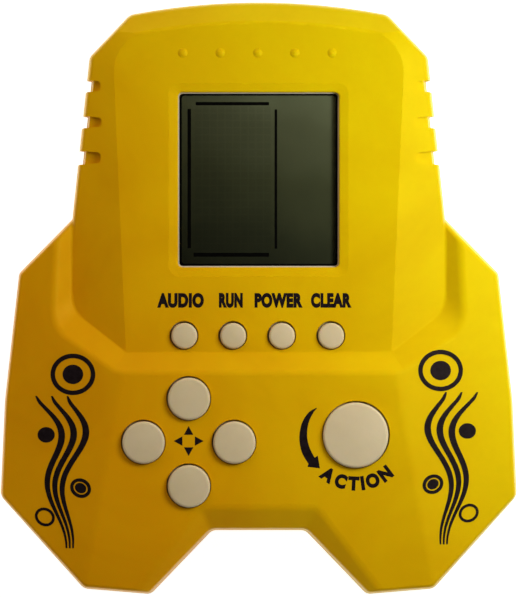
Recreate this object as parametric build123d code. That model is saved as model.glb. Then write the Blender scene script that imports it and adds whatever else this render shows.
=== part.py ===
from build123d import *
import math
import os

# Handheld LCD brick game. Millimetres. The game lies on its back: Z = 0 is the
# resting face, +Z is the play face, +Y is the display end, X is the width.
# The origin is under the centre of the overall footprint.

# ---- driving dimensions -------------------------------------------------
Z_PART = 13.0  # parting plane between rear and front shells
Z_HEAD = 26.6  # face of the raised display panel
Z_BODY = 30.0  # face of the lower body
WALL = 2.0  # moulding wall thickness
FRONT_DRAFT = 3.0  # side wall draft of the front shell, degrees
REAR_DRAFT = 6.0  # side wall draft of the rear shell, degrees
HEAD_SLOPE = 17.0  # fall of the head's flanks
TOP_SLOPE = 35.0  # fall of the band along the head's top edge
LOBE_SLOPE = 12.0  # fall of the body's two side lobes
COLLAR_SLOPE = 40.0  # slope of the collar wall beside the head
CORNER_R = 10.0  # plan radius of the display panel's top corners
TOP_ARCH_Y = 68.9  # crown of the arched top edge
TOP_BAND_Y, TOP_BAND_R = 64.0, 152.0  # inner edge of the top band and its radius

# right half outlines, listed from the top to the bottom
HEAD_PTS = [(30.0, 66.0), (39.4, 56.1), (43.4, 18.4)]
BODY_PTS = [
    (43.4, 18.4),
    (55.8, 5.8),
    (59.1, -23.7),
    (60.1, -46.0),
    (40.7, -67.6),
    (25.1, -68.9),
    (10.8, -54.0),
]
HEAD_ROUNDS = [((30.0, 66.0), 3.0), ((39.4, 56.1), 2.5)]
BODY_ROUNDS = [
    ((55.8, 5.8), 2.0),
    ((59.1, -23.7), 40.0),
    ((60.1, -46.0), 3.0),
    ((40.7, -67.6), 2.6),
    ((25.1, -68.9), 2.2),
    ((10.8, -54.0), 2.4),
]
PANEL_X, PANEL_Y, PANEL_TAPER = 33.7, 55.4, 0.04364  # edge line of the display panel

# display
WIN_X, WIN_Y, WIN_W, WIN_H = -0.05, 27.45, 37.3, 40.5
WIN_EDGE = 0.25  # small chamfer of the opening's edge
WIN_FRAME, WIN_DIP = 1.9, 0.35  # width and depth of the shallow band round the opening
LENS_W, LENS_H, LENS_T = 41.0, 44.5, 1.0

# keys: name, x, y, cap radius, hole radius, flange radius, stem radius, cap top
TRAVEL = 1.1
SMALL = dict(cap=3.0, hole=3.3, flange=4.1, stem=1.8, top=27.9, face=Z_HEAD)
DIR = dict(cap=4.9, hole=5.15, flange=5.5, stem=2.4, top=31.5, face=Z_BODY)
BIG = dict(cap=7.55, hole=7.8, flange=9.2, stem=3.4, top=31.6, face=Z_BODY)
CAP_LEAN = 0.08, -0.10  # how far the caps sit off the middle of their holes
DPAD = (-16.2, -33.25)
ROTATE = (22.5, -31.55)
KEYS = {
    "sound": (-17.3, -8.6, SMALL),
    "start_pause": (-6.0, -8.6, SMALL),
    "power": (5.3, -8.6, SMALL),
    "reset": (16.7, -8.6, SMALL),
    "up": (DPAD[0], DPAD[1] + 10.1, DIR),
    "down": (DPAD[0], DPAD[1] - 10.1, DIR),
    "left": (DPAD[0] - 10.5, DPAD[1], DIR),
    "right": (DPAD[0] + 10.5, DPAD[1], DIR),
    "rotate": (ROTATE[0], ROTATE[1], BIG),
}

# circuit board
PCB_Z0, PCB_Z1 = 18.0, 19.2
PCB_POSTS = [(-24.0, 57.8), (24.0, 57.8), (-31.5, -17.0), (31.5, -17.0), (2.0, -44.0)]

# case screws
CASE_SCREWS = [(-34.2, 50.0), (34.2, 50.0), (-48.5, 0.0), (48.5, 0.0), (-38.0, -57.0), (38.0, -57.0)]

# battery bay and door, two AA cells lying along X
CELL_R, CELL_L = 7.25, 50.5
CELL_Z = 9.15
CELL_YS = (45.1, 29.9)
BAY_X, BAY_Y0, BAY_Y1, BAY_Z1 = 28.8, 22.0, 53.0, 16.6
DOOR_X, DOOR_Y0, DOOR_T = 27.0, 22.0, 1.6
GAP = 0.2

GRIP_BANDS = [(51.0, 47.5, 36.6), (42.6, 39.2, 36.4), (34.5, 30.8, 36.6)]
GRIP_DEPTH = 1.1
BUMP_XS, BUMP_Y, BUMP_R, BUMP_H = (-17.6, -8.9, -0.2, 8.4, 17.0), 56.8, 1.1, 0.45
SEAM_W, SEAM_D = 0.3, 0.25  # groove along the parting line
BUZZER = (0.0, -28.0)


# ---- helpers ------------------------------------------------------------
def tand(d):
    return math.tan(math.radians(d))


def cosd(d):
    return math.cos(math.radians(d))


def sind(d):
    return math.sin(math.radians(d))


def symmetric_face(right, arch=None):
    """Counter-clockwise face from its right half, mirrored in X."""
    left = [(-x, y) for x, y in right]
    up = list(reversed(right))
    edges = [Line(a, b) for a, b in zip(up, up[1:])]
    if arch is not None:
        edges.append(ThreePointArc(right[0], (0, arch), left[0]))
    else:
        edges.append(Line(right[0], left[0]))
    edges += [Line(a, b) for a, b in zip(left, left[1:])]
    edges.append(Line(left[-1], right[-1]))
    return make_face(edges)


def rounded(face, spec):
    for radius in sorted(set(r for _, r in spec)):
        picked = []
        for v in face.vertices():
            for (x, y), r in spec:
                if r == radius and abs(abs(v.X) - x) < 0.05 and abs(v.Y - y) < 0.05:
                    picked.append(v)
        face = fillet(picked, radius)
    return face


def inset(face, t):
    return face if t == 0 else offset(face, amount=-t, kind=Kind.INTERSECTION)


def plane_of(a, b, c, t=0.0):
    """Plane through three points, facing up, sunk by t along its normal."""
    a, b, c = Vector(*a), Vector(*b), Vector(*c)
    n = (b - a).cross(c - a).normalized()
    if n.Z < 0:
        n = n * -1
    return Plane(origin=a - n * t, z_dir=n)


def pair(a, b, c, t):
    flip = lambda p: (-p[0], p[1], p[2])
    return plane_of(a, b, c, t), plane_of(flip(a), flip(b), flip(c), t)


def below(solid, plane):
    return split(solid, bisect_by=plane, keep=Keep.BOTTOM)


def above(solid, plane):
    return split(solid, bisect_by=plane, keep=Keep.TOP)


def box(x0, x1, y0, y1, z0, z1):
    return Pos((x0 + x1) / 2, (y0 + y1) / 2, (z0 + z1) / 2) * Box(x1 - x0, y1 - y0, z1 - z0)


def cyl(x, y, r, z0, z1):
    return Pos(x, y, z0) * Cylinder(r, z1 - z0, align=(Align.CENTER, Align.CENTER, Align.MIN))


def cone(x, y, r0, r1, z0, z1):
    return Pos(x, y, z0) * Cone(r0, r1, z1 - z0, align=(Align.CENTER, Align.CENTER, Align.MIN))


def plate(cx, cy, w, h, r, z0, z1):
    f = Pos(cx, cy, z0) * RectangleRounded(w, h, r)
    return extrude(f, amount=z1 - z0)


# ---- outlines -----------------------------------------------------------
FULL = rounded(symmetric_face(HEAD_PTS + BODY_PTS[1:], TOP_ARCH_Y), HEAD_ROUNDS + BODY_ROUNDS)
BODY = rounded(symmetric_face([(38.4, 23.48)] + BODY_PTS[1:]), BODY_ROUNDS)
HEAD = rounded(symmetric_face(HEAD_PTS + [(45.6, -2.4), (45.6, -30.0)], TOP_ARCH_Y), HEAD_ROUNDS)


def panel_x(y):
    return PANEL_X - (PANEL_Y - y) * PANEL_TAPER


def head_z(x, y):
    run = (abs(x) - panel_x(y)) * math.cos(math.atan(PANEL_TAPER))
    return Z_HEAD - max(0.0, run) * tand(HEAD_SLOPE)


# ---- outer form of the front, also used sunk by t for its inside ----------
def head_block(t, z0):
    s = extrude(Pos(0, 0, z0) * inset(HEAD, t), amount=Z_HEAD - t - z0, taper=FRONT_DRAFT)
    a, b = Vector(panel_x(57), 57, Z_HEAD), Vector(panel_x(-20), -20, Z_HEAD)
    d = (b - a).normalized()
    out = Vector(-d.Y, d.X, 0)
    if out.X < 0:
        out = out * -1
    c = a + out * 5 + Vector(0, 0, -5 * tand(HEAD_SLOPE))
    for p in pair(tuple(a), tuple(b), tuple(c), t):
        s = below(s, p)
    # band along the arched top edge
    k = 1 / tand(TOP_SLOPE)
    zc = Z_HEAD - t / cosd(TOP_SLOPE)
    s = s & (
        Pos(0, TOP_BAND_Y - TOP_BAND_R, 0)
        * Cone(TOP_BAND_R + zc * k, TOP_BAND_R + (zc - 40) * k, 40, align=(Align.CENTER, Align.CENTER, Align.MIN))
    )
    # rounded top corners of the panel
    phi = math.atan(PANEL_TAPER)
    y0 = 51.9
    m = (math.cos(phi), -math.sin(phi))
    cx, cy = panel_x(y0) - CORNER_R * m[0], y0 - CORNER_R * m[1]
    k2 = 1 / tand(HEAD_SLOPE)
    z2 = Z_HEAD - t / cosd(HEAD_SLOPE)
    for sx in (1, -1):
        w = [(cx, cy), (cx + 60 * m[0], cy + 60 * m[1]), (cx + 60, cy + 60), (cx, cy + 60)]
        if sx < 0:
            w = [(-x, y) for x, y in reversed(w)]
        wedge = extrude(make_face(Polyline(*w, close=True)), amount=z2)
        s = s - (wedge - cone(sx * cx, cy, CORNER_R + z2 * k2, CORNER_R, 0, z2))
    return s


def head_pocket(t):
    """Space above the head, bounded by the collar's sloping walls."""
    s = box(-70, 70, -40, 90, 10, 50)
    pa = (43.4, 18.4, head_z(43.4, 18.4))
    pb = (43.4, -2.7, head_z(43.4, -2.7))
    pc = (panel_x(-12.5), -12.5, Z_HEAD)
    pu = (43.4 + 5 * cosd(COLLAR_SLOPE), 8.0, (pa[2] + pb[2]) / 2 + 5 * sind(COLLAR_SLOPE))
    pd = (34.0, -17.1, Z_BODY)
    for p in pair(pa, pb, pu, t) + pair(pb, pc, pd, t):
        s = above(s, p)
    return above(s, plane_of((-5, -12.5, Z_HEAD), (5, -12.5, Z_HEAD), (0, -17.1, Z_BODY), t))


def body_block(t, z0):
    s = extrude(Pos(0, 0, z0) * inset(BODY, t), amount=Z_BODY - t - z0, taper=FRONT_DRAFT)
    # side lobes
    a, b = Vector(31.0, -14.3, Z_BODY), Vector(40.3, -66.7, Z_BODY)
    d = (b - a).normalized()
    out = Vector(-d.Y, d.X, 0)
    if out.X < 0:
        out = out * -1
    c = a + out * 10 + Vector(0, 0, -10 * tand(LOBE_SLOPE))
    for p in pair(tuple(a), tuple(b), tuple(c), t):
        s = below(s, p)
    # bevel round the notch between the legs
    w, h, h_tip = 5.5, 2.8, 1.6
    p = plane_of((-5, -54.0, Z_BODY - h), (5, -54.0, Z_BODY - h), (0, -54.0 + w, Z_BODY), t)
    a, b = Vector(10.8, -54.0, 0), Vector(25.1, -68.9, 0)
    d = (b - a).normalized()
    n = Vector(-d.Y, d.X, 0)
    if n.X < 0:
        n = n * -1
    q = pair((a.X, a.Y, Z_BODY - h), (b.X, b.Y, Z_BODY - h_tip), (a.X + n.X * w, a.Y + n.Y * w, Z_BODY), t)
    s = s - above(above(above(box(-60, 60, -90, -30, 20, 40), p), q[0]), q[1])
    return s


def front_form(t, z0):
    return (body_block(t, z0) - head_pocket(t)) + head_block(t, z0)


def edges_with(solid, test):
    """Edges between two faces for which test(midpoint, angle, normals) holds."""
    faces = solid.faces()
    found = {}
    for i, f in enumerate(faces):
        for e in f.edges():
            found.setdefault(hash(e), [e, []])[1].append(i)
    out = []
    for e, ff in found.values():
        if len(ff) == 2:
            m = e.position_at(0.5)
            n = [faces[i].normal_at(m) for i in ff]
            if test(m, n[0].get_angle(n[1]), n):
                out.append(e)
    return out


def on_top(n):
    return all(abs(v.Z) > 0.12 for v in n)


def is_rim(m, a, n):
    return sum(abs(v.Z) < 0.12 for v in n) == 1 and m.Z > Z_PART + 3 and 40 < a < 80 and abs(abs(m.X) - 43.2) > 0.15


def is_facet(m, a, n):
    return abs(a - LOBE_SLOPE) < 0.5 and abs(m.Z - Z_BODY) < 0.01


def is_notch(m, a, n):
    return on_top(n) and 15 < a < 50 and m.Z > 28 and m.Y < -45


def is_turn(m, a, n):
    return on_top(n) and 10 < a < 70 and 34 < abs(m.X) < 46 and -8 < m.Y < 10 and all(0.5 < abs(v.Z) < 0.88 for v in n)


def is_collar(m, a, n):
    z = sorted(abs(v.Z) for v in n)
    return m.Y > -20 and 0.5 < z[0] < 0.88 and z[1] > 0.93 and a > 20 and m.Z > 25.0


def is_valley(m, a, n):
    z = sorted(abs(v.Z) for v in n)
    return (
        on_top(n)
        and 0.5 < z[0] < 0.88
        and z[1] > 0.93
        and a > 20
        and m.Z < Z_HEAD + 0.01
        and (
            (abs(abs(m.X) - 43.4) < 0.15 and m.Y < 18)
            or (36.0 < abs(m.X) < 43.4 and -12.4 < m.Y < 2)
            or (abs(m.X) < 1 and abs(m.Y + 12.5) < 0.01)
        )
    )


def is_panel_top(m, a, n):
    return on_top(n) and abs(m.Z - Z_HEAD) < 0.01 and abs(a - TOP_SLOPE) < 1 and m.Y > -12


body_form = (body_block(0, Z_PART) - head_pocket(0)).solids()[0]
for test, radius in ((is_facet, 8), (is_turn, 9), (is_notch, 4), (is_collar, 2.6), (is_rim, 0.8)):
    body_form = body_form.fillet(radius, edges_with(body_form, test))
head_form = head_block(0, Z_PART).solids()[0]
head_form = head_form.fillet(1.0, edges_with(head_form, is_rim))
head_form = head_form.fillet(1.5, edges_with(head_form, is_panel_top))
outer = (body_form + head_form).solids()[0]
outer = outer.fillet(0.8, edges_with(outer, is_valley))
inner = front_form(WALL, Z_PART - 2)
post_limit = front_form(1.0, Z_PART - 2)
grip_limit = front_form(GRIP_DEPTH, Z_PART - 2)

# outer and inner form of the rear
rear_outer = extrude(Pos(0, 0, Z_PART) * FULL, amount=-Z_PART, taper=REAR_DRAFT)
rear_outer = fillet(rear_outer.edges().filter_by(lambda e: e.center().Z < 0.01), 2.0)
rear_inner = extrude(Pos(0, 0, Z_PART) * inset(FULL, WALL), amount=-(Z_PART - WALL), taper=REAR_DRAFT)
rear_grip = extrude(Pos(0, 0, Z_PART) * inset(FULL, GRIP_DEPTH), amount=-Z_PART, taper=REAR_DRAFT)

parts = {}

# ---- grip grooves in both flanks -------------------------------------------
grip_zone = None
for y1, y0, xi in GRIP_BANDS:
    for sx in (1, -1):
        w = [(xi, y0 + 0.55), (46, y0 - 0.2), (46, y1 + 0.15), (xi, y1 - 0.75)]
        f = make_face(Polyline(*[(sx * x, y) for x, y in w], close=True))
        f = fillet([v for v in f.vertices() if abs(v.X) < 38], 0.9)
        z = Pos(0, 0, -2) * extrude(f, amount=40, dir=(0, 0, 1))
        grip_zone = z if grip_zone is None else grip_zone + z

# ---- front shell ---------------------------------------------------------
front = outer - inner
for x, y in CASE_SCREWS:
    front = front + (cyl(x, y, 3.2, Z_PART + 0.1, 32) & post_limit)
for x, y in PCB_POSTS:
    front = front + (cyl(x, y, 2.3, PCB_Z1, 32) & post_limit)
lens_rim = plate(WIN_X, WIN_Y, LENS_W + 2.4, LENS_H + 2.4, 1.5, 23.4, 25.0) - plate(
    WIN_X, WIN_Y, LENS_W + 0.2, LENS_H + 0.2, 0.6, 23.0, 24.6
)
front = front + lens_rim
for x, y in CASE_SCREWS:
    front = front - cyl(x, y, 1.30, 12.0, 20.5)
for x, y in PCB_POSTS:
    front = front - cyl(x, y, 0.85, PCB_Z1 - 1, 24.0)
for name, (x, y, k) in KEYS.items():
    front = front - cyl(x, y, k["hole"], 20.0, 34.0) - cone(x, y, k["hole"], k["hole"] + 0.3, k["face"] - 0.15, k["face"] + 0.15)
grow = 2 * WIN_FRAME / WIN_DIP
bevel = loft(
    [
        Pos(WIN_X, WIN_Y, Z_HEAD - WIN_DIP) * RectangleRounded(WIN_W + 2 * WIN_EDGE, WIN_H + 2 * WIN_EDGE, 1.2),
        Pos(WIN_X, WIN_Y, Z_HEAD + 0.1) * RectangleRounded(
            WIN_W + 2 * WIN_EDGE + grow * (WIN_DIP + 0.1), WIN_H + 2 * WIN_EDGE + grow * (WIN_DIP + 0.1), 2.8
        ),
    ]
)
edge = loft(
    [
        Pos(WIN_X, WIN_Y, Z_HEAD - WIN_DIP - WIN_EDGE) * RectangleRounded(WIN_W, WIN_H, 1.0),
        Pos(WIN_X, WIN_Y, Z_HEAD - WIN_DIP) * RectangleRounded(WIN_W + 2 * WIN_EDGE, WIN_H + 2 * WIN_EDGE, 1.2),
    ]
)
front = front - plate(WIN_X, WIN_Y, WIN_W, WIN_H, 1.0, 22.0, 28.0) - bevel - edge
for x in BUMP_XS:
    ball = (BUMP_R**2 + BUMP_H**2) / (2 * BUMP_H)
    dome = Pos(x, BUMP_Y, Z_HEAD + BUMP_H - ball) * Sphere(ball) & box(x - 2, x + 2, BUMP_Y - 2, BUMP_Y + 2, Z_HEAD - 0.2, Z_HEAD + 2)
    front = front + dome
front = front - (grip_zone - grip_limit)
seam = box(-80, 80, -90, 90, Z_PART - SEAM_W / 2, Z_PART + SEAM_W / 2) - extrude(
    Pos(0, 0, Z_PART - 1) * inset(FULL, SEAM_D), amount=2
)
front = front - seam
parts["front_shell"] = front

# ---- rear shell ------------------------------------------------------------
rear = rear_outer - rear_inner
lip = extrude(Pos(0, 0, 12.0) * inset(FULL, 2.35), amount=2.2) - extrude(Pos(0, 0, 11.0) * inset(FULL, 3.3), amount=4)
lip_base = extrude(Pos(0, 0, 10.5) * inset(FULL, 1.5), amount=2.3) - extrude(Pos(0, 0, 10.0) * inset(FULL, 3.3), amount=4)
for x, y in CASE_SCREWS:
    lip = lip - cyl(x, y, 3.5, 12.9, 16)
rear = rear + lip_base + lip
bay_wall = 1.8
rear = rear + box(-BAY_X - bay_wall, BAY_X + bay_wall, BAY_Y0 - 1.6, BAY_Y1 + 1.6, 0.5, BAY_Z1 + 1.0)
rear = rear + (box(-BAY_X - bay_wall, BAY_X + bay_wall, BAY_Y1, 70, 0.5, 3.8) & rear_inner)
for x, y in CASE_SCREWS:
    rear = rear + cyl(x, y, 3.6, 1.0, Z_PART)
rear = rear - box(-BAY_X, BAY_X, BAY_Y0, BAY_Y1, -1, BAY_Z1)
for sx in (1, -1):
    x0, x1 = sorted((sx * (DOOR_X + GAP), sx * (BAY_X + 0.4)))
    rear = rear + box(x0, x1, BAY_Y0 - 0.4, BAY_Y1 + 0.4, 1.0, 2.8)
rear = rear - box(-DOOR_X - GAP, DOOR_X + GAP, DOOR_Y0 - GAP, 75, -1, DOOR_T + GAP)
for sx in (1, -1):
    x0, x1 = sorted((sx * DOOR_X, sx * (DOOR_X + 1.6)))
    rear = rear - box(x0, x1, DOOR_Y0 - GAP, 75, 0.7, DOOR_T + GAP)
for x, y in CASE_SCREWS:
    rear = rear - cyl(x, y, 2.5, -1, 8.0) - cyl(x, y, 1.4, 7.0, 15.0)
bx, by = BUZZER
rear = rear + (cyl(bx, by, 11.0, 1.5, 4.2) - cyl(bx, by, 10.1, 1.0, 5.0)) + (cyl(bx, by, 9.4, 1.5, 3.2) - cyl(bx, by, 8.4, 1.0, 5.0))
rear = rear - cyl(bx, by, 0.8, -1, 3)
for i in range(6):
    a = math.radians(60 * i)
    rear = rear - cyl(bx + 4.2 * math.cos(a), by + 4.2 * math.sin(a), 0.8, -1, 3)
tab_slots = [(CELL_YS[0], 34.0), (CELL_YS[1], 32.3)]
for y, reach in tab_slots:
    rear = rear - box(-BAY_X - 3, -BAY_X + 0.5, y - 1.7, y + 1.7, 14.1, 14.7)
rear = rear - (grip_zone - rear_grip) - seam
parts["rear_shell"] = rear

# ---- battery door ------------------------------------------------------------
door = rear_outer & box(-DOOR_X, DOOR_X, DOOR_Y0, 75, -1, DOOR_T)
for sx in (1, -1):
    x0, x1 = sorted((sx * (DOOR_X - 0.5), sx * (DOOR_X + 1.4)))
    door = door + box(x0, x1, DOOR_Y0, 62.0, 0.9, DOOR_T)
for i in range(5):
    y = 55.0 + 1.9 * i
    door = door - plate(0, y, 16.0 - 1.5 * i, 0.9, 0.44, -0.5, 0.5)
parts["battery_door"] = door

# ---- display stack -------------------------------------------------------------
parts["display_window"] = plate(WIN_X, WIN_Y, LENS_W, LENS_H, 0.5, 24.6 - LENS_T, 24.6)
parts["lcd_panel"] = box(-21, 21, 4.0, 51.0, 22.2, 23.2) + box(-21, 21, 8.0, 51.0, 21.2, 22.2)
parts["lcd_polariser"] = box(-19.6, 19.6, 6.4, 48.6, 23.2, 23.35)
parts["lcd_reflector"] = box(-19.3, 19.3, 9.2, 49.8, 21.0, 21.2)
parts["lcd_holder"] = (
    plate(0, 27.5, 46.4, 51.0, 1.5, PCB_Z1, 23.2)
    - box(-21.1, 21.1, 3.9, 51.1, 21.2, 24)
    - box(-19.5, 19.5, 9.0, 50.0, 18, 22)
    - box(-18.1, 18.1, 4.8, 7.2, 18, 22)
)
parts["zebra_strip"] = box(-18.0, 18.0, 4.9, 7.1, PCB_Z1, 22.2)

# ---- circuit board ---------------------------------------------------------------
right = [(27.0, 60.3), (29.2, 57.0), (29.2, -9.0), (36.0, -14.0), (36.0, -42.0), (28.0, -49.0)]
pcb = extrude(Pos(0, 0, PCB_Z0) * symmetric_face(right), amount=PCB_Z1 - PCB_Z0)
for x, y in PCB_POSTS:
    pcb = pcb - cyl(x, y, 1.1, 17, 21)
parts["main_pcb"] = pcb
blob = cyl(-4.0, 6.0, 6.0, PCB_Z0 - 1.6, PCB_Z0)
parts["game_chip"] = fillet(blob.edges().filter_by(lambda e: e.center().Z < PCB_Z0 - 1), 1.3)
res = []
for x, y in ((-18.0, 8.0), (-18.0, 3.5), (-18.0, -1.0)):
    r = Pos(x, y, PCB_Z0 - 1.1) * Rot(0, 90, 0) * Cylinder(1.1, 6.5)
    res.append(r)
cap = cyl(14.0, 6.0, 2.5, PCB_Z0 - 9.0, PCB_Z0)
cap = fillet(cap.edges().filter_by(lambda e: e.center().Z < PCB_Z0 - 5), 0.4)
xtal = Pos(4.0, -16.0, PCB_Z0 - 2.5) * Box(7.0, 3.0, 5.0)
xtal = fillet(xtal.edges().filter_by(Axis.Z), 1.0)
parts["pcb_components"] = Compound(children=[s for p in (*res, cap, xtal) for s in p.solids()])

# ---- keys, their carbon pills and dome mats ---------------------------------------------
DOMES = {3.0: (3.9, 1.9, 3.2, 1.7, 1.5), 4.9: (4.4, 2.5, 3.6, 2.2, 2.0), 7.55: (5.6, 3.5, 4.6, 3.1, 2.8)}


def dome_add(x, y, k):
    rb, rt, cb, ct, rp = DOMES[k["cap"]]
    return cone(x, y, rb, rt, 19.9, 22.0)


def dome_cut(x, y, k):
    rb, rt, cb, ct, rp = DOMES[k["cap"]]
    return cone(x, y, cb, ct, PCB_Z1 - 0.001, 20.9)


mats = {
    "small_key_mat": (plate(-0.3, -8.6, 43.4, 9.0, 2.0, PCB_Z1, 20.0), ("sound", "start_pause", "power", "reset")),
    "direction_key_mat": (cyl(DPAD[0], DPAD[1], 15.9, PCB_Z1, 20.0), ("up", "down", "left", "right")),
    "rotate_key_mat": (cyl(ROTATE[0], ROTATE[1], 9.5, PCB_Z1, 20.0), ("rotate",)),
}
for mat, (base, names) in mats.items():
    for n in names:
        base = base + dome_add(*KEYS[n])
    for n in names:
        base = base - dome_cut(*KEYS[n])
    parts[mat] = base

for n, (x, y, k) in KEYS.items():
    under = k["face"] - WALL
    crown = 0.25 if k["cap"] < 5 else 0.4
    ball = (k["cap"] ** 2 + crown**2) / (2 * crown)
    cx, cy = x + (-CAP_LEAN[0] if k is BIG else CAP_LEAN[0]), y + CAP_LEAN[1]
    cap = cyl(cx, cy, k["cap"], under - 0.5, k["top"]) & (Pos(cx, cy, k["top"] - ball) * Sphere(ball))
    cap = fillet(cap.edges().filter_by(lambda e: e.center().Z > k["top"] - 1.0), 0.65)
    flange = cyl(x, y, k["flange"], under - 1.15, under - 0.05)
    if k is DIR:  # one flat keys the cap against turning
        flange = flange - box(x - 6, x + 6, y + 5.2, y + 7, 20, 30)
    stem = cyl(x, y, k["stem"], 22.0, under - 0.6)
    parts["button_" + n] = cap + flange + stem
    parts["pill_" + n] = cyl(x, y, DOMES[k["cap"]][4], 20.4, 20.9)

# ---- batteries and contacts ---------------------------------------------------------------
for name, y, s in (("battery_upper", CELL_YS[0], 1), ("battery_lower", CELL_YS[1], -1)):
    can = Pos(-s * 0.65, y, CELL_Z) * Rot(0, 90, 0) * Cylinder(CELL_R, CELL_L - 1.3)
    can = fillet(can.edges(), 0.5)
    nub = Pos(s * (CELL_L / 2 - 0.65), y, CELL_Z) * Rot(0, 90, 0) * Cylinder(2.7, 1.3)
    parts[name] = can + nub


def contact_plate(sx, y0, y1):
    x0, x1 = sorted((sx * (BAY_X - 0.4), sx * BAY_X))
    p = box(x0, x1, y0, y1, 3.2, 15.2)
    return p


def nose(sx, y):
    c = Cone(3.2, 2.0, 3.1, align=(Align.CENTER, Align.CENTER, Align.MIN))
    return Pos(sx * (BAY_X - 0.4), y, CELL_Z) * Rot(0, -90 * sx, 0) * c


def coil(sx, y):
    """Battery spring between the plate and the cell's flat end."""
    length = BAY_X - 0.4 - CELL_L / 2 - 0.45
    path = Helix(pitch=0.98, height=length - 0.35, radius=3.3)
    prof = Plane(origin=path @ 0, z_dir=path % 0) * Circle(0.4)
    s = sweep(prof, path=path)
    return Pos(sx * (BAY_X - 0.75), y, CELL_Z) * Rot(0, -90 * sx, 0) * s


def tab(y, reach):
    return box(-reach, -BAY_X + 0.4, y - 1.5, y + 1.5, 14.2, 14.6)


parts["contact_positive"] = contact_plate(-1, 24.4, 35.4) + nose(-1, CELL_YS[1]) + tab(CELL_YS[1], tab_slots[1][1])
parts["contact_negative"] = contact_plate(-1, 39.6, 50.6) + tab(CELL_YS[0], tab_slots[0][1]) + coil(-1, CELL_YS[0])
parts["contact_bridge"] = contact_plate(1, 24.4, 50.6) + nose(1, CELL_YS[0]) + coil(1, CELL_YS[1])


# ---- fixed wires -----------------------------------------------------------------------------
def wire(points, dia):
    runs = [math.dist(a, b) for a, b in zip(points, points[1:])]
    radii = []
    for i in range(1, len(points) - 1):
        u = Vector(*points[i]) - Vector(*points[i - 1])
        v = Vector(*points[i + 1]) - Vector(*points[i])
        radii.append(0.45 * min(runs[i - 1], runs[i]) / math.tan(math.radians(u.get_angle(v) / 2)))
    print("wire radii", [round(r, 1) for r in radii])
    path = FilletPolyline(*points, radius=radii)
    prof = Plane(origin=path @ 0, z_dir=path % 0) * Circle(dia / 2)
    return sweep(prof, path=path)


w1 = wire([(-33.4, 46.0, 15.1), (-33.4, 22.0, 15.1), (-29.6, 14.0, 15.0), (-24.8, 8.0, 15.2), (-24.8, 8.0, PCB_Z0)], 1.0)
w2 = wire([(-31.9, 31.0, 15.1), (-31.9, 19.6, 15.1), (-28.2, 15.0, 14.9), (-21.6, 12.4, 15.2), (-21.6, 12.4, PCB_Z0)], 1.0)
parts["battery_wires"] = Compound(children=[s for p in (w1, w2) for s in p.solids()])
w3 = wire([(8.9, -28.0, 3.45), (8.9, -28.0, 8.0), (10.5, -31.0, 12.5), (12.8, -36.0, 14.5), (12.8, -36.0, PCB_Z0)], 0.8)
w4 = wire([(4.6, -28.0, 3.65), (4.6, -28.0, 8.0), (6.0, -31.5, 12.0), (9.0, -37.0, 14.0), (9.0, -37.0, PCB_Z0)], 0.8)
parts["buzzer_wires"] = Compound(children=[s for p in (w3, w4) for s in p.solids()])
parts["buzzer_disc"] = cyl(bx, by, 10.0, 3.2, 3.45)
parts["buzzer_ceramic"] = cyl(bx, by, 7.0, 3.45, 3.65)


# ---- fasteners ---------------------------------------------------------------------------------
def screw(x, y, z_seat, z_tip, head_r, head_h, shank_r):
    head = cyl(x, y, head_r, z_seat - head_h, z_seat)
    head = fillet(head.edges().filter_by(lambda e: e.center().Z < z_seat - head_h + 0.01), head_h * 0.35)
    s = head + cyl(x, y, shank_r, z_seat, z_tip - 0.8) + cone(x, y, shank_r, shank_r * 0.4, z_tip - 0.8, z_tip)
    slot = head_r * 1.1
    for w, h in ((slot, 0.45), (0.45, slot)):
        s = s - (Pos(x, y, z_seat - head_h) * Box(w, h, head_h * 1.1))
    return s


def group(shapes):
    return Compound(children=[s for p in shapes for s in p.solids()])


parts["case_screws"] = group([screw(x, y, 8.0, 19.6, 2.3, 1.8, 1.25) for x, y in CASE_SCREWS])
parts["board_screws"] = group([screw(x, y, PCB_Z0, 22.6, 1.9, 1.1, 0.8) for x, y in PCB_POSTS])

os.makedirs("parts", exist_ok=True)
for name, shape in parts.items():
    export_step(shape, "parts/" + name + ".step")
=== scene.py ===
import math

import bmesh
import bpy
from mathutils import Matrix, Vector
from mathutils.bvhtree import BVHTree


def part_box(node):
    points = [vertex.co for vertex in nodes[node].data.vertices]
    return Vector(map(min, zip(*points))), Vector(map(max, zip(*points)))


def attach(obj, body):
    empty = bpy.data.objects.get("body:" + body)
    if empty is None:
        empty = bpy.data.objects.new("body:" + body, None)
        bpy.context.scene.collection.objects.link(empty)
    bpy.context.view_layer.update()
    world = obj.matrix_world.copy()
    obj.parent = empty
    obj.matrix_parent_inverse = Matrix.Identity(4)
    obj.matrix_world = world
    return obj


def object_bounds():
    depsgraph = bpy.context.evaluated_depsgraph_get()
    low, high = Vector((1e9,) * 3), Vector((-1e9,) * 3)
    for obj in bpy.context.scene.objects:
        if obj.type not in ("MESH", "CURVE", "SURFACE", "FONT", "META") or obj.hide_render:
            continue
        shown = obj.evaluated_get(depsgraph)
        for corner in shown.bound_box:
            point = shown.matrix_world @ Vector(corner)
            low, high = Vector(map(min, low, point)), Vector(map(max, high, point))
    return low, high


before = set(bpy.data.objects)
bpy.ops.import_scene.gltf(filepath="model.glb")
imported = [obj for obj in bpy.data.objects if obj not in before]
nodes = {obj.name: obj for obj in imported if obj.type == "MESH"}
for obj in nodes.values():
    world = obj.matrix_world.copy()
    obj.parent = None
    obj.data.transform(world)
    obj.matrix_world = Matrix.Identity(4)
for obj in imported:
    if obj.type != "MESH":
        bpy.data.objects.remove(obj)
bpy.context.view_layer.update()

MM = 0.001


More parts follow.
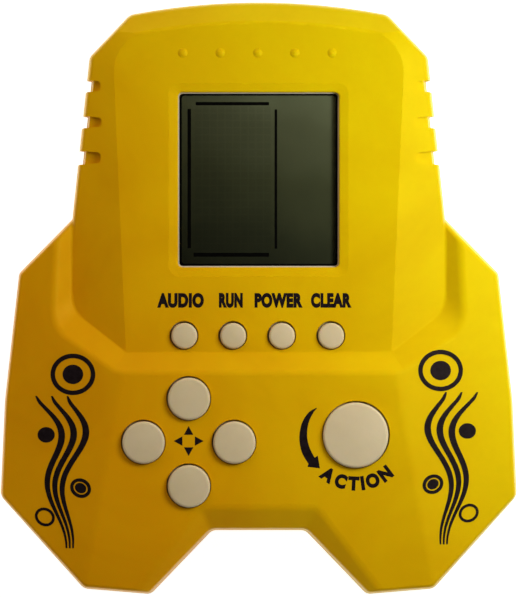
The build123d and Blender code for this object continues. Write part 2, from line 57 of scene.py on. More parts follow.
# ------------------------------------------------------------------ materials
class Mat:
    """A node material around one Principled shader, with small helpers."""

    def __init__(self, name):
        self.m = bpy.data.materials.new(name)
        self.m.use_nodes = True
        self.nt = self.m.node_tree
        self.nt.nodes.clear()
        self.out = self.nt.nodes.new("ShaderNodeOutputMaterial")
        self.b = self.nt.nodes.new("ShaderNodeBsdfPrincipled")
        self.nt.links.new(self.b.outputs[0], self.out.inputs[0])
        self.coord = self.nt.nodes.new("ShaderNodeTexCoord").outputs["Object"]

    def set(self, **kw):
        for k, v in kw.items():
            self.b.inputs[k.replace("_", " ")].default_value = v
        return self

    def node(self, kind, **props):
        n = self.nt.nodes.new(kind)
        for k, v in props.items():
            setattr(n, k, v)
        return n

    def link(self, a, b):
        self.nt.links.new(a, b)

    def noise(self, scale, detail=3.0, rough=0.55, stretch=None, distortion=0.0):
        n = self.node("ShaderNodeTexNoise")
        n.inputs["Scale"].default_value = scale
        n.inputs["Detail"].default_value = detail
        n.inputs["Roughness"].default_value = rough
        n.inputs["Distortion"].default_value = distortion
        if stretch:
            mp = self.node("ShaderNodeMapping")
            mp.inputs["Scale"].default_value = stretch
            self.link(self.coord, mp.inputs["Vector"])
            self.link(mp.outputs["Vector"], n.inputs["Vector"])
        else:
            self.link(self.coord, n.inputs["Vector"])
        return n.outputs["Fac"]

    def ramp(self, fac, stops, interp="LINEAR"):
        r = self.node("ShaderNodeValToRGB")
        r.color_ramp.interpolation = interp
        els = r.color_ramp.elements
        while len(els) < len(stops):
            els.new(0.5)
        for e, (p, c) in zip(els, stops):
            e.position = p
            e.color = (*c, 1.0) if len(c) == 3 else c
        self.link(fac, r.inputs["Fac"])
        return r.outputs["Color"]

    def remap(self, fac, lo, hi, a=0.0, b=1.0, smooth=False):
        n = self.node("ShaderNodeMapRange")
        if smooth:
            n.interpolation_type = "SMOOTHSTEP"
        n.inputs["From Min"].default_value = lo
        n.inputs["From Max"].default_value = hi
        n.inputs["To Min"].default_value = a
        n.inputs["To Max"].default_value = b
        self.link(fac, n.inputs["Value"])
        return n.outputs["Result"]

    def mix(self, fac, a, b, mode="MIX"):
        n = self.node("ShaderNodeMix", data_type="RGBA", blend_type=mode)
        if isinstance(fac, float):
            n.inputs[0].default_value = fac
        else:
            self.link(fac, n.inputs[0])
        for sock, v in ((n.inputs[6], a), (n.inputs[7], b)):
            if isinstance(v, tuple):
                sock.default_value = (*v, 1.0)
            else:
                self.link(v, sock)
        return n.outputs[2]

    def math(self, op, a, b=None, c=None, clamp=False):
        n = self.node("ShaderNodeMath", operation=op, use_clamp=clamp)
        for i, v in enumerate((a, b, c)):
            if v is None:
                continue
            if isinstance(v, (int, float)):
                n.inputs[i].default_value = v
            else:
                self.link(v, n.inputs[i])
        return n.outputs[0]

    def axis(self, which):
        s = self.node("ShaderNodeSeparateXYZ")
        self.link(self.coord, s.inputs[0])
        return s.outputs[which]

    def bump(self, *layers):
        """layers: (height socket, distance in metres, strength)"""
        prev = None
        for h, dist, strength in layers:
            n = self.node("ShaderNodeBump")
            n.inputs["Distance"].default_value = dist
            n.inputs["Strength"].default_value = strength
            self.link(h, n.inputs["Height"])
            if prev is not None:
                self.link(prev, n.inputs["Normal"])
            prev = n.outputs["Normal"]
        self.link(prev, self.b.inputs["Normal"])

    def color(self, sock):
        self.link(sock, self.b.inputs["Base Color"])

    def rough(self, sock):
        self.link(sock, self.b.inputs["Roughness"])


def moulded(name, deep, main, light, r0=0.30, r1=0.46, sss=0.0, sss_radius=(0.004, 0.002, 0.0004), grain=1.0, scratches=0.35, painted_side_shade=None, spec=0.5, tint=(1.0, 1.0, 1.0)):
    """Injection-moulded plastic: flow mottling, faint orange peel, rubbed patches and hair scratches.

    Side shade argument: (low, high, factor) on x + 0.6 y; the green channel is scaled by factor at the low end,
    a painted shade that turns the left and lower side of the plastic more orange.
    """
    m = Mat(name)
    flow = m.noise(26.0, 4.0, 0.6, distortion=0.6)
    fine = m.noise(620.0, 3.0, 0.6)
    c = m.ramp(m.remap(flow, 0.30, 0.70), [(0.0, deep), (0.5, main), (1.0, light)])
    # painted shade: the green drops towards the left and lower side, so that side looks lit by warmer, dimmer light
    if painted_side_shade:
        t = m.math("ADD", m.axis(0), m.math("MULTIPLY", m.axis(1), 0.60))
        t = m.math("ADD", t, m.math("MULTIPLY", m.math("SUBTRACT", flow, 0.5), 0.03))
        orange_side_shade_mask = m.remap(t, painted_side_shade[0], painted_side_shade[1], 1.0, 0.0)
        c = m.mix(orange_side_shade_mask, c, (1.0, painted_side_shade[2], 1.0), mode="MULTIPLY")
    c = m.mix(m.remap(fine, 0.35, 0.75, 0.0, 0.10), c, tuple(0.82 * v for v in deep))
    m.color(c)
    wear = m.noise(70.0, 6.0, 0.7)
    scr = m.noise(260.0, 5.0, 0.62, stretch=(1.0, 0.035, 1.0), distortion=0.3)
    scr2 = m.noise(240.0, 5.0, 0.62, stretch=(0.045, 1.0, 1.0), distortion=0.3)
    lines = m.math("MAXIMUM", m.remap(scr, 0.68, 0.74), m.remap(scr2, 0.70, 0.76))
    ro = m.math("ADD", m.remap(wear, 0.25, 0.78, r0, r1), m.math("MULTIPLY", lines, 0.12), clamp=True)
    m.rough(ro)
    peel = m.noise(1500.0, 2.0, 0.5)
    wave = m.noise(55.0, 2.0, 0.4)
    m.bump((wave, 0.00045 * grain, 0.22), (peel, 0.000030 * grain, 0.55), (lines, -0.000012, scratches))
    m.set(IOR=1.5, Subsurface_Weight=sss, Subsurface_Radius=(1.0, 0.45, 0.08), Subsurface_Scale=sss_radius[0])
    m.set(**{"Specular IOR Level": spec, "Specular Tint": (*tint, 1.0)})
    return m.m


def metal(name, col, r0=0.18, r1=0.36, brushed=(1.0, 0.05, 1.0), tarnish=(0.42, 0.36, 0.28), amount=0.25):
    m = Mat(name)
    brush = m.noise(900.0, 4.0, 0.6, stretch=brushed)
    spots = m.noise(230.0, 5.0, 0.65)
    c = m.mix(m.remap(brush, 0.2, 0.8, 0.0, 0.35), col, tuple(0.78 * v for v in col))
    c = m.mix(m.remap(spots, 0.55, 0.80, 0.0, amount), c, tarnish)
    m.color(c)
    m.rough(m.math("ADD", m.remap(brush, 0.2, 0.8, r0, r1), m.remap(spots, 0.5, 0.8, 0.0, 0.15)))
    m.bump((brush, 0.00002, 0.5), (spots, 0.00002, 0.3))
    m.set(Metallic=1.0)
    return m.m


def rubbery(name, col, dark, rough=(0.55, 0.78), sss=0.1):
    m = Mat(name)
    n1 = m.noise(180.0, 5.0, 0.65)
    dust = m.noise(1100.0, 3.0, 0.6)
    c = m.ramp(m.remap(n1, 0.3, 0.7), [(0.0, dark), (1.0, col)])
    c = m.mix(m.remap(dust, 0.60, 0.78, 0.0, 0.25), c, tuple(min(1.0, v * 1.25 + 0.02) for v in col))
    m.color(c)
    m.rough(m.remap(n1, 0.3, 0.7, *rough))
    m.bump((dust, 0.00003, 0.5), (n1, 0.00008, 0.3))
    m.set(Subsurface_Weight=sss, Subsurface_Radius=(1.0, 0.9, 0.8), Subsurface_Scale=0.0015)
    return m.m


def ink(name, col=(0.0055, 0.0035, 0.0055)):
    """Pad-printed ink: near black, slightly uneven, with pinholes letting less gloss through."""
    m = Mat(name)
    n1 = m.noise(900.0, 4.0, 0.6)
    n2 = m.noise(3200.0, 2.0, 0.5)
    c = m.ramp(m.remap(n1, 0.35, 0.75), [(0.0, col), (1.0, tuple(v * 2.2 + 0.003 for v in col))])
    m.color(c)
    m.rough(m.remap(n2, 0.3, 0.7, 0.42, 0.58))
    m.bump((n2, 0.000008, 0.5),)
    m.set(**{"Specular IOR Level": 0.10, "Specular Tint": (1.0, 0.75, 0.70, 1.0)})
    return m.m


# the yellow shell carries a painted shade: its green is scaled down to 0.61 towards the left and lower side
YELLOW = moulded("shell_yellow", (0.745, 0.535, 0.0010), (0.80, 0.600, 0.0012), (0.835, 0.650, 0.0015), 0.40, 0.54,
                 sss=0.10, sss_radius=(0.0022,), painted_side_shade=(-0.055, 0.060, 0.61), spec=0.30, tint=(1.0, 0.80, 0.06))
CREAM = moulded("key_cream", (0.66, 0.555, 0.350), (0.73, 0.625, 0.415), (0.78, 0.68, 0.47), 0.48, 0.60, sss=0.12, sss_radius=(0.0016,), grain=0.7, spec=0.28)
BLACK_ABS = moulded("holder_black", (0.010, 0.010, 0.010), (0.018, 0.018, 0.018), (0.026, 0.026, 0.026), 0.45, 0.60)
INK = ink("print_black")


def lens_material():
    """Clear acrylic: light passes straight through, the gloss is a Fresnel coat over it."""
    m = Mat("lens_clear")
    nt = m.nt
    clear = m.node("ShaderNodeBsdfTransparent")
    clear.inputs["Color"].default_value = (0.90, 0.92, 0.90, 1.0)
    fres = m.node("ShaderNodeFresnel")
    fres.inputs["IOR"].default_value = 1.49
    mix = m.node("ShaderNodeMixShader")
    m.set(Base_Color=(0.02, 0.022, 0.02, 1.0), IOR=1.49)
    haze = m.noise(90.0, 5.0, 0.65)
    scr = m.noise(300.0, 4.0, 0.6, stretch=(1.0, 0.03, 1.0), distortion=0.2)
    lines = m.remap(scr, 0.70, 0.76)
    m.rough(m.math("ADD", m.remap(haze, 0.3, 0.75, 0.05, 0.12), m.math("MULTIPLY", lines, 0.2)))
    m.bump((haze, 0.00006, 0.15), (lines, -0.00001, 0.3))
    m.link(fres.outputs[0], mix.inputs[0])
    m.link(clear.outputs[0], mix.inputs[1])
    m.link(m.b.outputs[0], mix.inputs[2])
    m.link(mix.outputs[0], m.out.inputs[0])
    return m.m


def polariser_material():
    """The display film: olive grey, painted lighter towards the top and right where the light falls and darker towards
    the lower left, with faint unlit cells.
    """
    m = Mat("lcd_film")
    x, y = m.axis(0), m.axis(1)
    # painted light: the film brightens from the lower left to the top right, mostly with height
    t = m.math("ADD", m.math("MULTIPLY", x, 4.2), m.math("MULTIPLY", m.math("SUBTRACT", y, 0.0275), 22.0))
    cloud = m.noise(70.0, 3.0, 0.5)
    t = m.math("ADD", t, m.math("MULTIPLY", m.math("SUBTRACT", cloud, 0.5), 0.35))
    c = m.ramp(m.remap(t, -0.60, 0.60), [(0.0, (0.046, 0.049, 0.020)), (0.25, (0.092, 0.098, 0.042)), (0.5, (0.185, 0.193, 0.086)), (0.75, (0.315, 0.325, 0.175)), (1.0, (0.53, 0.565, 0.34))])
    # faint segment cells of a 10 by 20 field
    cell = 1.78 * MM
    u = m.math("FRACT", m.math("DIVIDE", m.math("ADD", x, 0.0149), cell))
    v = m.math("FRACT", m.math("DIVIDE", m.math("SUBTRACT", y, 0.0110), cell * 0.945))
    du = m.math("ABSOLUTE", m.math("SUBTRACT", u, 0.5))
    dv = m.math("ABSOLUTE", m.math("SUBTRACT", v, 0.5))
    inside = m.math("LESS_THAN", m.math("MAXIMUM", du, dv), 0.42)
    field = m.math("MULTIPLY", m.math("MULTIPLY", m.math("GREATER_THAN", x, -0.0150), m.math("LESS_THAN", x, 0.0029)),
                   m.math("MULTIPLY", m.math("GREATER_THAN", y, 0.0110), m.math("LESS_THAN", y, 0.0444)))
    ghost = m.math("MULTIPLY", m.math("MULTIPLY", inside, field), 0.10)
    c = m.mix(ghost, c, (0.0, 0.0, 0.0))
    m.color(c)
    grain = m.noise(2600.0, 2.0, 0.5)
    m.rough(m.remap(grain, 0.3, 0.7, 0.42, 0.52))
    m.bump((grain, 0.000010, 0.4),)
    m.set(IOR=1.45)
    return m.m


def board_material():
    m = Mat("board_phenolic")
    fib = m.noise(420.0, 5.0, 0.65, stretch=(0.15, 1.0, 1.0))
    cloud = m.noise(45.0, 3.0, 0.5)
    c = m.ramp(m.remap(cloud, 0.3, 0.7), [(0.0, (0.20, 0.105, 0.028)), (1.0, (0.29, 0.165, 0.048))])
    c = m.mix(m.remap(fib, 0.45, 0.75, 0.0, 0.35), c, (0.14, 0.07, 0.02))
    # printed tracks under a green-brown resist
    br = m.node("ShaderNodeTexBrick")
    br.inputs["Scale"].default_value = 300.0
    br.inputs["Mortar Size"].default_value = 0.012
    br.offset = 0.37
    m.link(m.coord, br.inputs["Vector"])
    track = m.math("SUBTRACT", 1.0, br.outputs["Fac"])
    c = m.mix(m.math("MULTIPLY", br.outputs["Fac"], 0.8), c, (0.33, 0.20, 0.05))
    m.color(c)
    m.rough(m.remap(fib, 0.3, 0.7, 0.38, 0.55))
    m.bump((track, -0.00003, 0.5), (fib, 0.00002, 0.3))
    return m.m


def cell_material():
    """AA sleeve: dark body, copper-coloured shoulder at the positive end, bare steel ends."""
    m = Mat("cell_sleeve")
    x, y, z = m.axis(0), m.axis(1), m.axis(2)
    upper = m.math("GREATER_THAN", y, 0.0375)
    sign = m.math("SUBTRACT", m.math("MULTIPLY", upper, 2.0), 1.0)
    along = m.math("MULTIPLY", x, sign)
    n1 = m.noise(160.0, 4.0, 0.6)
    body = m.ramp(m.remap(n1, 0.3, 0.7), [(0.0, (0.012, 0.020, 0.035)), (1.0, (0.020, 0.032, 0.055))])
    gold = m.ramp(m.remap(n1, 0.3, 0.7), [(0.0, (0.50, 0.21, 0.06)), (1.0, (0.62, 0.30, 0.10))])
    c = m.mix(m.math("GREATER_THAN", along, 0.0125), body, gold)
    band = m.math("LESS_THAN", m.math("ABSOLUTE", m.math("SUBTRACT", along, 0.0118)), 0.0004)
    c = m.mix(band, c, (0.55, 0.55, 0.52))
    steel = m.math("GREATER_THAN", m.math("ABSOLUTE", m.math("ADD", along, 0.00065)), 0.0241)
    c = m.mix(steel, c, (0.62, 0.61, 0.58))
    m.color(c)
    met = m.math("ADD", m.math("MULTIPLY", m.math("GREATER_THAN", along, 0.0125), 0.75), steel, clamp=True)
    m.link(met, m.b.inputs["Metallic"])
    m.rough(m.remap(n1, 0.2, 0.8, 0.20, 0.34))
    m.bump((n1, 0.00003, 0.3),)
    return m.m


def wire_material():
    """Two insulated leads: red nearer +Y/+X pair member, black the other, told apart by place."""
    m = Mat("wire_pvc")
    n1 = m.noise(500.0, 3.0, 0.6)
    x, y = m.axis(0), m.axis(1)
    # the black leads are the outer battery wire and the disc's outer wire
    outer = m.math("LESS_THAN", m.math("ADD", x, m.math("MULTIPLY", m.math("SUBTRACT", y, 0.008), -0.55)), -0.0262)
    disc = m.math("GREATER_THAN", x, 0.0095)
    black = m.math("MAXIMUM", outer, disc)
    red = m.ramp(m.remap(n1, 0.3, 0.7), [(0.0, (0.34, 0.012, 0.010)), (1.0, (0.46, 0.022, 0.016))])
    c = m.mix(black, red, (0.015, 0.015, 0.016))
    m.color(c)
    m.rough(m.remap(n1, 0.3, 0.7, 0.30, 0.42))
    m.bump((n1, 0.00002, 0.4),)
    return m.m


def component_material():
    m = Mat("component_body")
    n1 = m.noise(300.0, 4.0, 0.6)
    x = m.axis(0)
    base = m.ramp(m.remap(n1, 0.3, 0.7), [(0.0, (0.42, 0.30, 0.16)), (1.0, (0.52, 0.39, 0.22))])
    w = m.node("ShaderNodeTexWave", wave_type="BANDS", bands_direction="X")
    w.inputs["Scale"].default_value = 210.0
    w.inputs["Distortion"].default_value = 0.0
    m.link(m.coord, w.inputs["Vector"])
    c = m.mix(m.math("MULTIPLY", m.math("GREATER_THAN", w.outputs["Fac"], 0.86), m.math("LESS_THAN", x, -0.010)), base, (0.10, 0.03, 0.02))
    c = m.mix(m.math("GREATER_THAN", x, 0.010), c, (0.02, 0.03, 0.06))
    m.color(c)
    m.rough(m.remap(n1, 0.3, 0.7, 0.32, 0.48))
    m.bump((n1, 0.00003, 0.4),)
    return m.m


STEEL = metal("contact_steel", (0.72, 0.71, 0.68))
SCREW = metal("screw_zinc", (0.52, 0.52, 0.53), 0.24, 0.42, brushed=(1.0, 1.0, 0.1))
BRASS = metal("disc_brass", (0.72, 0.50, 0.20), 0.2, 0.36)
FILM = metal("reflector_foil", (0.62, 0.64, 0.58), 0.35, 0.5, tarnish=(0.45, 0.47, 0.42))
GLASS = moulded("lcd_glass", (0.030, 0.034, 0.022), (0.040, 0.044, 0.030), (0.050, 0.055, 0.038), 0.08, 0.16, grain=0.1)
ZEBRA = rubbery("zebra_pink", (0.62, 0.28, 0.34), (0.52, 0.22, 0.28))
MAT_RUBBER = rubbery("mat_silicone", (0.55, 0.57, 0.57), (0.45, 0.47, 0.47), sss=0.25)
CARBON = rubbery("pill_carbon", (0.020, 0.020, 0.020), (0.012, 0.012, 0.012), sss=0.0)
EPOXY = rubbery("chip_epoxy", (0.016, 0.016, 0.018), (0.010, 0.010, 0.012), rough=(0.25, 0.45), sss=0.0)
CERAMIC = rubbery("disc_ceramic", (0.74, 0.72, 0.66), (0.66, 0.64, 0.58), rough=(0.35, 0.5), sss=0.05)

LOOK = {
    "front_shell": YELLOW, "rear_shell": YELLOW, "battery_door": YELLOW,
    "display_window": lens_material(), "lcd_polariser": polariser_material(), "lcd_panel": GLASS,
    "lcd_reflector": FILM, "lcd_holder": BLACK_ABS, "zebra_strip": ZEBRA,
    "main_pcb": board_material(), "game_chip": EPOXY, "pcb_components": component_material(),
    "small_key_mat": MAT_RUBBER, "direction_key_mat": MAT_RUBBER, "rotate_key_mat": MAT_RUBBER,
    "contact_positive": STEEL, "contact_negative": STEEL, "contact_bridge": STEEL,
    "buzzer_disc": BRASS, "buzzer_ceramic": CERAMIC, "case_screws": SCREW, "board_screws": SCREW,
}
CELL, WIRE = cell_material(), wire_material()
for name in ("battery_upper", "battery_lower"):
    LOOK[name] = CELL
for name in ("battery_wires", "buzzer_wires"):
    LOOK[name] = WIRE
for name, o in nodes.items():
    if name.startswith("button_"):
        LOOK[name] = CREAM
    elif name.startswith("pill_"):
        LOOK[name] = CARBON
for name, o in nodes.items():
    o.data.materials.clear()
    o.data.materials.append(LOOK[name])


# ------------------------------------------------------------------ prints
def surface_of(name):
    o = nodes[name]
    return BVHTree.FromPolygons([v.co for v in o.data.vertices], [list(p.vertices) for p in o.data.polygons])


FRONT = surface_of("front_shell")


def top_z(x, y, tree=FRONT):
    hit = tree.ray_cast(Vector((x, y, 0.06)), Vector((0, 0, -1)))
    return hit[0].z


def flat_mesh(loops):
    """Filled 2D region from closed loops of (x, y) in mm; inner loops are holes."""
    cu = bpy.data.curves.new("outline", "CURVE")
    cu.dimensions = "2D"
    cu.fill_mode = "BOTH"
    for loop in loops:
        sp = cu.splines.new("POLY")
        sp.points.add(len(loop) - 1)
        for p, (x, y) in zip(sp.points, loop):
            p.co = (x, y, 0, 1)
        sp.use_cyclic_u = True
    o = bpy.data.objects.new("outline", cu)
    bpy.context.scene.collection.objects.link(o)
    bpy.context.view_layer.update()
    me = bpy.data.meshes.new_from_object(o.evaluated_get(bpy.context.evaluated_depsgraph_get()))
    bpy.data.objects.remove(o)
    bpy.data.curves.remove(cu)
    return me


def text_mesh(body, height, stretch=1.0, bold=0.0, spacing=1.0):
    """Lettering in Blender's own plain face, in mm, centred on x, standing on y = 0."""
    cu = bpy.data.curves.new("label", "FONT")
    cu.body = body
    cu.size = height / 0.70
    cu.offset = bold
    cu.space_character = spacing
    cu.resolution_u = 6
    cu.align_x = "CENTER"
    o = bpy.data.objects.new("label", cu)
    bpy.context.scene.collection.objects.link(o)
    bpy.context.view_layer.update()
    me = bpy.data.meshes.new_from_object(o.evaluated_get(bpy.context.evaluated_depsgraph_get()))
    bpy.data.objects.remove(o)
    bpy.data.curves.remove(cu)
    for v in me.vertices:
        v.co.x *= stretch
    return me


def lay_print(name, meshes, material=INK, lift=0.030, sink=0.05, cell=0.7, tree=FRONT, body="case", flat_z=None):
    """Thin closed ink film on the moulding: cut into small cells, dropped on the surface, given thickness."""
    bm = bmesh.new()
    for me in meshes:
        bm.from_mesh(me)
        bpy.data.meshes.remove(me)
    bmesh.ops.remove_doubles(bm, verts=bm.verts, dist=0.004)
    if flat_z is None:
        xs = [v.co.x for v in bm.verts]
        ys = [v.co.y for v in bm.verts]
        for axis, lo, hi in ((0, min(xs), max(xs)), (1, min(ys), max(ys))):
            n = int((hi - lo) / cell)
            for i in range(1, n + 1):
                at = lo + (hi - lo) * i / (n + 1)
                co = Vector((at, 0, 0)) if axis == 0 else Vector((0, at, 0))
                no = Vector((1, 0, 0)) if axis == 0 else Vector((0, 1, 0))
                geom = bm.verts[:] + bm.edges[:] + bm.faces[:]
                bmesh.ops.bisect_plane(bm, geom=geom, plane_co=co, plane_no=no, dist=1e-5)
    bmesh.ops.triangulate(bm, faces=bm.faces[:])
    bm.verts.index_update()
    bm.normal_update()
    verts, faces = [], []
    up = [v.co.copy() for v in bm.verts]
    n = len(up)
    for dz in (lift, -sink):
        for p in up:
            x, y = p.x * MM, p.y * MM
            z = (flat_z if flat_z is not None else top_z(x, y, tree) / MM) + dz
            verts.append((x, y, z * MM))
    for f in bm.faces:
        idx = [v.index for v in f.verts]
        if f.normal.z < 0:
            idx.reverse()
        faces.append(idx)
        faces.append([i + n for i in reversed(idx)])
    top_faces = faces[0::2]
    count = {}
    for f in top_faces:
        for a, b in zip(f, f[1:] + f[:1]):
            count[(a, b)] = True
    for (a, b) in list(count):
        if (b, a) not in count:
            faces.append([b, a, a + n, b + n])
    bm.free()
    me = bpy.data.meshes.new(name)
    me.from_pydata(verts, [], faces)
    me.validate()
    me.update()
    o = bpy.data.objects.new(name, me)
    bpy.context.scene.collection.objects.link(o)
    me.materials.append(material)
    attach(o, body)
    return o


def ring(cx, cy, rx, ry, n=56, turn=0.0):
    c, s = math.cos(turn), math.sin(turn)
    pts = []
    for i in range(n):
        a = 2 * math.pi * i / n
        x, y = rx * math.cos(a), ry * math.sin(a)
        pts.append((cx + x * c - y * s, cy + x * s + y * c))
    return pts


def spline(points, steps=14):
    """Catmull-Rom through (x, y, ...) tuples."""
    out = []
    p = [points[0]] + list(points) + [points[-1]]
    for i in range(1, len(p) - 2):
        for k in range(steps):
            t = k / steps
            a, b, c, d = p[i - 1], p[i], p[i + 1], p[i + 2]
            out.append(tuple(0.5 * ((2 * b[j]) + (-a[j] + c[j]) * t + (2 * a[j] - 5 * b[j] + 4 * c[j] - d[j]) * t * t + (-a[j] + 3 * b[j] - 3 * c[j] + d[j]) * t ** 3) for j in range(len(b))))
    out.append(tuple(points[-1]))
    return out


def fit(me, x0, x1, y0, y1):
    """Scale and move a flat mesh into a box, in mm."""
    lo = [min(v.co[i] for v in me.vertices) for i in (0, 1)]
    hi = [max(v.co[i] for v in me.vertices) for i in (0, 1)]
    for v in me.vertices:
        v.co.x = x0 + (v.co.x - lo[0]) / (hi[0] - lo[0]) * (x1 - x0)
        v.co.y = y0 + (v.co.y - lo[1]) / (hi[1] - lo[1]) * (y1 - y0)
    return me


# labels over the four small keys
for name, body, x0, x1 in (
    ("label_audio", "AUDIO", -23.5, -12.7), ("label_run", "RUN", -9.2, -3.7),
    ("label_power", "POWER", -0.95, 10.2), ("label_clear", "CLEAR", 12.1, 21.5),
):
    lay_print(name, [fit(text_mesh(body, 3.1, 1.0, bold=0.30, spacing=1.10), x0, x1, -2.2, 1.25)])

# arrows between the direction keys
tri = []
DX, DY = -16.2, -33.0
for k in range(4):
    a = math.pi / 2 * k
    c, s = math.cos(a), math.sin(a)
    loop = [(3.45, 0.0), (1.45, 1.08), (1.45, -1.08)]
    tri.append(flat_mesh([[(DX + x * c - y * s, DY + x * s + y * c) for x, y in loop]]))
lay_print("direction_arrows", tri)

# curved arrow and its word round the large key
RX, RY = 22.5, -31.65
outer_edge = spline([(13.35, -25.3), (11.6, -26.35), (10.1, -28.6), (9.48, -31.2), (9.48, -33.4), (10.1, -35.9), (11.5, -38.25)], 8)
inner_edge = spline([(12.95, -36.85), (11.95, -34.95), (11.33, -32.95), (11.2, -30.95), (11.6, -28.6), (12.6, -26.5), (13.45, -25.45)], 8)
arrow_head = [(11.3, -38.95), (14.15, -39.3), (13.65, -36.35)]
lay_print("turn_arrow", [flat_mesh([outer_edge + arrow_head + inner_edge])])


def arc_text(body, cx, cy, r_in, height, a0, a1, bold, squeeze=0.9):
    """Letters standing along the lower arc of a circle, from angle a0 to a1 (degrees from straight down)."""
    glyphs = []
    for ch in body:
        me = text_mesh(ch, height, squeeze, bold=bold)
        lo, hi = min(v.co.x for v in me.vertices), max(v.co.x for v in me.vertices)
        glyphs.append((me, (lo + hi) / 2, hi - lo))
    span = math.radians(a1 - a0) * (r_in + height / 2)
    gap = (span - sum(g[2] for g in glyphs)) / (len(glyphs) - 1)
    at, out = 0.0, []
    for me, mid, w in glyphs:
        a = math.radians(a0) + (at + w / 2) / (r_in + height / 2)
        for v in me.vertices:
            px, py = v.co.x - mid, v.co.y - height - r_in
            v.co.x = cx + px * math.cos(a) - py * math.sin(a)
            v.co.y = cy + px * math.sin(a) + py * math.cos(a)
        at += w + gap
        out.append(me)
    return out


lay_print("label_action", arc_text("ACTION", RX, RY, 9.72, 2.85, -43.5, 44.5, 0.26))


# side decoration: plain rings, dots and three tapering cosine strokes, mirrored on the two lobes
def wave(side, shift, rank, n=24):
    """One stroke as rows of (y, left x, right x), top to bottom; rank is -1, 0 or 1 across the group."""
    rows = []
    for i in range(n):
        t = i / (n - 1)
        y = -22.6 + shift[1] - 35.2 * t
        x = -45.2 - (2.7 - 1.2 * t) * math.cos(3.0 * math.pi * t ** 0.8) + rank * (0.75 + 2.9 * (1.0 - t) ** 1.2)
        w = 0.20 + 0.58 * math.sin(math.pi * t ** 0.55)
        x = -side * x + shift[0]
        rows.append((y, x - w, x + w))
    return rows


def band(rows):
    """Outline of a stroke from rows of (y, left x, right x)."""
    rows = spline(rows, 6)
    return [(a, y) for y, a, _ in rows] + [(b, y) for y, _, b in reversed(rows)]


def eye(cx, cy, w, h, thick, turn=0.0, pupil=None):
    """A ring, with a filled dot in it when pupil gives its width and height."""
    t = math.radians(turn)
    out = [flat_mesh([ring(cx, cy, w / 2, h / 2, turn=t), ring(cx, cy, w / 2 - thick, h / 2 - thick, turn=t)])]
    if pupil:
        out.append(flat_mesh([ring(cx, cy, pupil[0] / 2, pupil[1] / 2, turn=t)]))
    return out


for name, side, shift in (("left", -1, (0.0, 0.0)), ("right", 1, (-0.9, 0.9))):
    def spot(x, y):
        return side * x + shift[0], y + shift[1]

    lay_print("rings_" + name, (
        eye(*spot(43.0, -17.6), 10.4, 9.6, 1.05, 0, (4.8, 4.5))
        + [flat_mesh([ring(*spot(49.2, -31.6), 2.0, 1.8)])]
        + eye(*spot(41.2, -43.9), 5.0, 4.4, 0.80, side * 30, (2.8, 2.3))
        + eye(*spot(49.5, -50.6), 4.8, 4.2, 0.66, side * 30)
    ))
    lay_print("waves_" + name, [flat_mesh([band(wave(side, shift, k))]) for k in (-1, 0, 1)])

# display: ruled field frame on the film, dark border on the back of the lens
POL_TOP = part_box("lcd_polariser")[1].z / MM
LENS_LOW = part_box("display_window")[0].z / MM


def bar(x0, x1, y0, y1, r=0.12):
    pts = []
    for cx, cy, a0 in ((x1 - r, y1 - r, 0), (x0 + r, y1 - r, 90), (x0 + r, y0 + r, 180), (x1 - r, y0 + r, 270)):
        for k in range(4):
            a = math.radians(a0 + 30 * k)
            pts.append((cx + r * math.cos(a), cy + r * math.sin(a)))
    return pts


SEG = ink("segment_black", (0.0022, 0.0022, 0.0024))
lay_print(
    "lcd_field_frame",
    [flat_mesh([bar(*b)]) for b in ((-14.6, 2.4, 44.75, 45.5), (-15.1, 2.4, 9.65, 10.55), (-16.5, -15.7, 11.6, 43.9), (3.68, 4.28, 11.5, 43.8))],
    material=SEG, flat_z=POL_TOP, lift=0.018, sink=-0.003,
)


def rounded_rect(cx, cy, w, h, r, n=8):
    pts = []
    for sx, sy, a0 in ((1, 1, 0), (-1, 1, 90), (-1, -1, 180), (1, -1, 270)):
        for k in range(n + 1):
            a = math.radians(a0 + 90 * k / n)
            pts.append((cx + sx * (w / 2 - r) + r * math.cos(a), cy + sy * (h / 2 - r) + r * math.sin(a)))
    return pts


lay_print(
    "window_border_print",
    [flat_mesh([rounded_rect(-0.05, 27.45, 39.6, 42.8, 0.8), rounded_rect(0.0, 27.5, 35.7, 39.0, 0.7)])],
    material=SEG, flat_z=LENS_LOW, lift=-0.003, sink=0.018,
)
# painted highlight: a thin pale ring laid on the lens along the window's inner edge, where the light catches that edge
PAINTED_EDGE_HIGHLIGHT = moulded("painted_edge_highlight", (0.50, 0.47, 0.40), (0.58, 0.55, 0.47), (0.64, 0.61, 0.53), 0.45, 0.6, grain=0.3)
lay_print(
    "window_edge_highlight_line",
    [flat_mesh([rounded_rect(-0.05, 27.45, 38.0, 41.2, 1.2), rounded_rect(-0.05, 27.45, 36.7, 39.9, 0.8)])],
    material=PAINTED_EDGE_HIGHLIGHT, flat_z=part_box("display_window")[1].z / MM, lift=0.03, sink=-0.004,
)


# ------------------------------------------------------------------ floor, light, camera
def floor_material():
    m = Mat("floor_paper")
    n1 = m.noise(14.0, 4.0, 0.6)
    m.color(m.ramp(m.remap(n1, 0.3, 0.7), [(0.0, (0.86, 0.86, 0.86)), (1.0, (0.90, 0.90, 0.90))]))
    m.rough(m.remap(n1, 0.3, 0.7, 0.55, 0.7))
    m.set(Emission_Color=(0.86, 0.94, 1.0, 1.0), Emission_Strength=0.95)
    clear = m.node("ShaderNodeBsdfTransparent")
    under = m.node("ShaderNodeNewGeometry").outputs["Backfacing"]
    mix = m.node("ShaderNodeMixShader")
    m.link(under, mix.inputs[0])
    m.link(m.b.outputs[0], mix.inputs[1])
    m.link(clear.outputs[0], mix.inputs[2])
    m.link(mix.outputs[0], m.out.inputs[0])
    return m.m


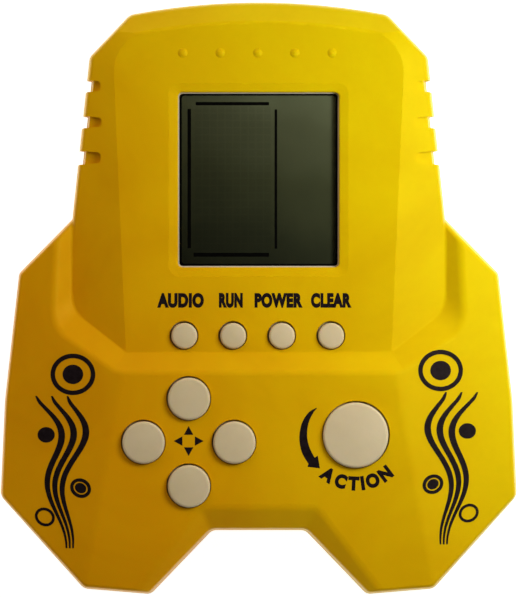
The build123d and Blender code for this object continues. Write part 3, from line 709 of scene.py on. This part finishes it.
me = bpy.data.meshes.new("floor")
bm = bmesh.new()
bmesh.ops.create_grid(bm, x_segments=8, y_segments=8, size=2.5)
bm.to_mesh(me)
bm.free()
floor = bpy.data.objects.new("floor", me)
bpy.context.scene.collection.objects.link(floor)
floor.location.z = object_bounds()[0].z - 0.0001
me.materials.append(floor_material())


def area(name, loc, target, size, power, color=(1, 1, 1)):
    li = bpy.data.lights.new(name, "AREA")
    li.shape = "RECTANGLE"
    li.size, li.size_y = size
    li.energy = power
    li.color = color
    o = bpy.data.objects.new(name, li)
    bpy.context.scene.collection.objects.link(o)
    o.location = loc
    o.rotation_mode = "QUATERNION"
    o.rotation_quaternion = (Vector(target) - Vector(loc)).to_track_quat("-Z", "Y")
    return o


area("key", (0.130, 0.055, 0.160), (0.0, 0.0, 0.02), (0.09, 0.09), 0.275, (1.0, 0.99, 0.90))
area("fill", (-0.26, 0.40, 0.36), (0.0, 0.03, 0.02), (0.4, 0.4), 0.80, (1.0, 0.66, 0.40))

# a dim room overhead, brighter towards the horizon
world = bpy.data.worlds.new("studio")
world.use_nodes = True
wt = world.node_tree
bg = wt.nodes["Background"]
co = wt.nodes.new("ShaderNodeTexCoord")
sep = wt.nodes.new("ShaderNodeSeparateXYZ")
wr = wt.nodes.new("ShaderNodeValToRGB")
wr.color_ramp.elements[0].position, wr.color_ramp.elements[0].color = 0.0, (0.46, 0.45, 0.42, 1.0)
wr.color_ramp.elements[1].position, wr.color_ramp.elements[1].color = 0.90, (0.040, 0.040, 0.036, 1.0)
wt.links.new(co.outputs["Generated"], sep.inputs[0])
wt.links.new(sep.outputs[2], wr.inputs["Fac"])
wt.links.new(wr.outputs["Color"], bg.inputs["Color"])
bg.inputs["Strength"].default_value = 1.0
bpy.context.scene.world = world

cam_data = bpy.data.cameras.new("camera")
cam = bpy.data.objects.new("camera", cam_data)
bpy.context.scene.collection.objects.link(cam)
DIST = 2.4
SEEN_H = 0.598 / 4.3  # metres of the face plane across the frame's height
cam.location = (0.0003, -0.00016, 0.016 + DIST)
cam.rotation_euler = (0.0, 0.0, math.radians(0.0))
cam_data.sensor_fit = "VERTICAL"
cam_data.sensor_height = 24.0
cam_data.sensor_width = 24.0 * 520 / 598
cam_data.lens = 24.0 * DIST / SEEN_H
cam_data.clip_start, cam_data.clip_end = 0.05, 20.0
bpy.context.scene.camera = cam
bpy.context.scene.view_settings.view_transform = "Standard"
